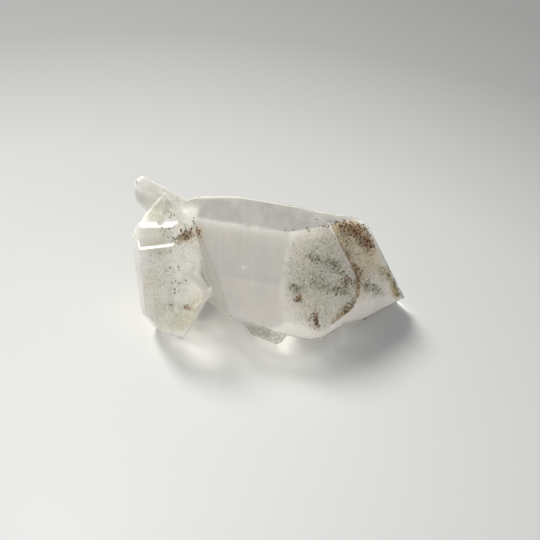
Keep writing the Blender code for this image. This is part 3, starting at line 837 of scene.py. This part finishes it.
IRON_SINGLES = (
    ("slant", 1.1, -13.0, 0.36), ("slant", -1.0, -2.6, 0.25), ("slant", 8.0, -1.4, 0.27),
    ("slant", 11.0, -0.2, 0.34), ("slant", 9.5, 0.9, 0.30), ("slant", 8.8, 3.6, 0.41),
    ("slant", 8.6, 5.2, 0.34), ("slant", 10.9, 2.6, 0.33), ("slant", 12.6, 0.8, 0.33),
    ("slant", 13.4, 2.2, 0.31), ("slant", 13.5, 1.2, 0.31), ("slant", 11.8, 8.0, 0.33),
    ("slant", -3.4, 8.6, 0.36), ("slant", -2.8, 8.9, 0.31), ("slant", 2.9, 11.0, 0.41),
    ("slant", 2.2, 12.3, 0.34), ("slant", 3.4, 12.6, 0.34), ("slant", 2.4, 14.1, 0.31),
    ("slant", 4.4, 13.6, 0.36), ("slant", 4.0, 14.6, 0.28), ("slant", 1.9, 12.9, 0.28),
    ("companion", 7.6, -13.4, 0.39), ("companion", 13.5, -10.8, 0.41), ("companion", 15.6, -10.5, 0.39),
    ("companion", 10.2, -12.0, 0.36), ("companion", 11.6, -12.2, 0.36), ("companion", 15.6, -9.0, 0.33),
    ("companion", 24.8, -4.0, 0.34), ("companion", 26.9, -1.8, 0.33),
    ("left front", 7.4, 5.6, 0.54), ("left front", 7.4, 7.4, 0.50), ("left front", 6.7, 8.5, 0.45),
    ("left front", 7.9, 6.4, 0.38), ("left front", 6.2, 5.2, 0.41), ("left front", 5.8, 6.8, 0.36),
    ("left front", 6.3, 9.1, 0.41), ("left front", 8.0, 7.9, 0.34), ("left front", 5.5, 8.7, 0.36),
    ("left front", 5.0, 8.1, 0.29), ("left front", -12.0, 5.9, 0.40), ("left front", 5.9, 3.8, 0.25),
)
scatter("iron_grains", Random(22), IRON_GROUPS, IRON_SINGLES, iron_oxide)

# %% Pale grains and painted glints
# Partly painted glints: the white specks on the left crystal's broken part and on the main crystal's
# front are painted sparkle and glints of the rough surface; the rest are pale mineral grains.
PALE_AND_GLINT_GROUPS = (
    ("stub", 0.3, -0.7, 2.2, 2.4, 0.0, 60, 0.08, 0.26),
    ("stub end", 0.8, -2.0, 2.6, 2.4, 0.0, 80, 0.08, 0.26),
    ("left front", 1.0, 6.0, 7.0, 3.6, 0.0, 170, 0.08, 0.26),
    ("left front", -7.0, 2.0, 6.0, 6.0, 0.0, 160, 0.07, 0.22),
    ("left front", -12.0, -2.0, 4.0, 2.4, 0.0, 50, 0.08, 0.24),
    ("slant", -4.0, 2.0, 4.0, 6.0, 0.0, 60, 0.07, 0.20),
    ("slant", 4.0, 3.0, 6.0, 4.0, 0.0, 60, 0.07, 0.20),
    ("slant", -1.0, 11.0, 3.0, 2.0, 0.0, 24, 0.08, 0.24),
    ("companion", 20.0, -2.0, 6.0, 4.4, 20.0, 150, 0.07, 0.22),
    ("front", -8.0, 2.0, 11.0, 9.0, 0.0, 30, 0.05, 0.14),
)
PALE_AND_GLINT_SINGLES = (
    ("slant", -3.8, 1.4, 0.34), ("front", -9.5, 2.8, 0.26), ("front", -10.7, 8.1, 0.20),
    ("left front", -11.8, -0.6, 0.40), ("left front", -11.5, -0.1, 0.30),
    ("left front", -3.2, -3.4, 0.30), ("slant", -7.6, 2.4, 0.26), ("slant", -5.8, 2.9, 0.24),
)
scatter("pale_grains_and_glints", Random(23), PALE_AND_GLINT_GROUPS, PALE_AND_GLINT_SINGLES, feldspar_and_glints)

# %% [markdown]
# ## The floor and the light
#
# The photograph was taken on a plain white sheet under a large soft light from behind and to
# the left, so the shadow falls softly to the right and towards the viewer. The sheet is lit
# unevenly and looks greyer further back, which its material copies with a slow change of tone.

# %% Floor
FLOOR_HALF = 3000.0 * MM
SHEET_BRIGHT_SPOT = (-45.0 * MM, -82.0 * MM, 0.0)
SHEET_REACH = 280.0 * MM
# Tones of the sheet, at shares of the way from the bright spot to that reach.
SHEET_TONES = ((0.0, "f3f3f2"), (0.27, "e4e4e3"), (0.55, "d0d1d0"), (0.83, "a5a6a6"), (1.0, "989999"))

white_sheet, tree, output = blank_material("white paper sheet")
sheet_place = node(tree, "ShaderNodeTexCoord")
from_bright = node(tree, "ShaderNodeVectorMath", {0: sheet_place.outputs["Object"],
                                                  1: SHEET_BRIGHT_SPOT}, operation="DISTANCE")
sheet_share = node(tree, "ShaderNodeMapRange", {"Value": from_bright.outputs["Value"],
                                                "From Max": SHEET_REACH})
sheet_tones = node(tree, "ShaderNodeValToRGB", {0: sheet_share.outputs["Result"]})
for k, (place, tone) in enumerate(SHEET_TONES):
    stops = sheet_tones.color_ramp.elements
    stop = stops[k] if k < 2 else stops.new(place)
    stop.position = place
    stop.color = linear(tone)
paper = node(tree, "ShaderNodeBsdfPrincipled", {"Base Color": sheet_tones.outputs["Color"],
                                                "Roughness": 0.8, "Specular IOR Level": 0.2})
tree.links.new(paper.outputs[0], output.inputs["Surface"])
floor_mesh = bpy.data.meshes.new("floor")
floor_mesh.from_pydata([(-FLOOR_HALF, -FLOOR_HALF, 0.0), (FLOOR_HALF, -FLOOR_HALF, 0.0),
                        (FLOOR_HALF, FLOOR_HALF, 0.0), (-FLOOR_HALF, FLOOR_HALF, 0.0)], [],
                       [(0, 1, 2, 3)])
floor_mesh.materials.append(white_sheet)
floor = bpy.data.objects.new("floor", floor_mesh)
bpy.context.collection.objects.link(floor)

# %% Lights
KEY_WATTS = 8.9
FILL_WATTS = 4.1
ROOM_STRENGTH = 0.33
# A lamp is (name, direction from the cluster as heading and rise, distance, size, watts, colour).
LIGHTS = (
    ("key", 124.0, 43.0, 0.95, 0.24, KEY_WATTS, "fffdf8"),
    ("fill", -62.0, 6.0, 0.95, 0.90, FILL_WATTS, "fffaf6"),
)
for name, heading, rise, distance, size, power, colour in LIGHTS:
    lamp = bpy.data.lights.new(name, "AREA")
    lamp.shape = "DISK"
    lamp.size = size
    lamp.energy = power
    lamp.color = linear(colour)[:3]
    lamp_object = bpy.data.objects.new(name, lamp)
    direction = axis_direction(heading, rise)
    lamp_object.location = distance * direction
    lamp_object.rotation_euler = direction.to_track_quat("Z", "Y").to_euler()
    bpy.context.collection.objects.link(lamp_object)

world = bpy.data.worlds.new("soft room")
bpy.context.scene.world = world
world.use_nodes = True
world.node_tree.nodes["Background"].inputs["Color"].default_value = linear("e9edf0")
world.node_tree.nodes["Background"].inputs["Strength"].default_value = ROOM_STRENGTH
bpy.context.scene.view_settings.view_transform = "Standard"
bpy.context.scene.view_settings.look = "None"
